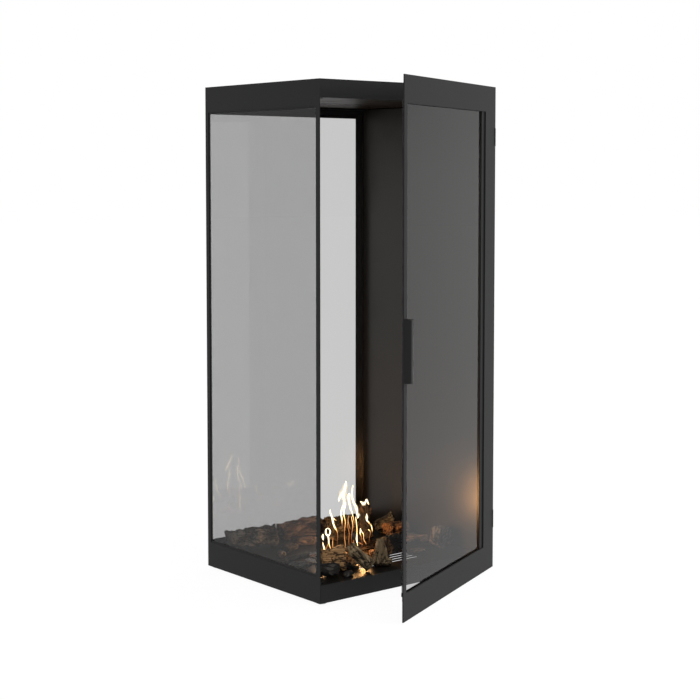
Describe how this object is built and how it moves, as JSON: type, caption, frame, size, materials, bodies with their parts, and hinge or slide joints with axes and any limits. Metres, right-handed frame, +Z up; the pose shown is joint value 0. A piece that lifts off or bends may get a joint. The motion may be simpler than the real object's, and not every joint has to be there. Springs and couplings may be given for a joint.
{
  "type": "bioethanol room divider fireplace",
  "caption": "Tall black steel bioethanol room divider fireplace with glass on the end, rear and hinged door, ceramic logs on the hearth and a slotted burner with a comb slide",
  "frame": {"origin": "on the floor under the middle of the whole, with the door open as it rests; the cabinet's own middle is 0.134 m behind it", "axes": "+X towards the closed wall side, with the door's hinges; +Y to the rear pane; +Z up; the door side faces -Y"},
  "size_m": [0.6003, 0.7687, 1.314],
  "materials": {
    "cabinet_steel": "satin",
    "door_steel": "satin",
    "liner_steel": "satin",
    "handle_black": "satin",
    "tinted_glass": "gloss",
    "seal_black": "matte",
    "burner_steel": "brushed",
    "ceramic_wool": "matte",
    "zinc": "satin",
    "bark": "matte",
    "charred": "matte",
    "red_bark": "matte"
  },
  "bodies": {
    "cabinet": {"base_pan": "cabinet_steel", "branch_ember": "bark", "branch_front": "bark", "branch_right": "bark", "burner_cover": "burner_steel", "burner_tank": "burner_steel", "burner_wool": "ceramic_wool", "ceiling_plate": "liner_steel", "end_bead_bottom": "cabinet_steel", "end_bead_top": "cabinet_steel", "end_frame": "cabinet_steel", "end_glass": "tinted_glass", "end_seal": "seal_black", "foot_front_left": "zinc", "foot_front_right": "zinc", "foot_rear_left": "zinc", "foot_rear_right": "zinc", "hearth_plate": "cabinet_steel", "hinge_leaf_lower": "cabinet_steel", "hinge_leaf_upper": "cabinet_steel", "hinge_pin_lower": "zinc", "hinge_pin_upper": "zinc", "hinge_post": "zinc", "log_front_charred": "charred", "log_front_left": "bark", "log_front_wedge": "bark", "log_left_thin": "bark", "log_rear_left": "bark", "log_rear_middle": "bark", "log_rear_reddish": "red_bark", "log_rear_right": "bark", "log_right_bark": "bark", "log_right_charred": "charred", "log_right_orange": "red_bark", "rear_bead_bottom": "cabinet_steel", "rear_bead_top": "cabinet_steel", "rear_frame": "cabinet_steel", "rear_glass": "tinted_glass", "rear_seal": "seal_black", "roof_pan": "cabinet_steel", "side_liner": "liner_steel", "side_panel": "cabinet_steel", "slide_rail_front": "burner_steel", "slide_rail_rear": "burner_steel", "wall_insulation": "ceramic_wool"},
    "door": {"door_skin": "door_steel", "door_glass_frame": "door_steel", "door_seal": "seal_black", "door_glass": "tinted_glass", "door_strip_top": "zinc", "door_strip_bottom": "zinc", "door_barrel_lower": "door_steel", "door_barrel_upper": "door_steel", "handle": "handle_black", "handle_screw_lower": "zinc", "handle_screw_upper": "zinc", "door_magnet_lower": "zinc", "door_magnet_upper": "zinc"},
    "slide": {"burner_slide": "burner_steel", "slide_knob": "zinc"}
  },
  "joints": [
    {"name": "door_hinge", "type": "hinge", "parent": "cabinet", "child": "door", "pos_m": [0.2965, -0.12, 0.659], "axis": [0, 0, 1], "range_deg": [-24.6, 70.4]},
    {"name": "burner_slide_travel", "type": "slide", "parent": "cabinet", "child": "slide", "axis": [1, 0, 0], "range_m": [0, 0.014]}
  ]
}
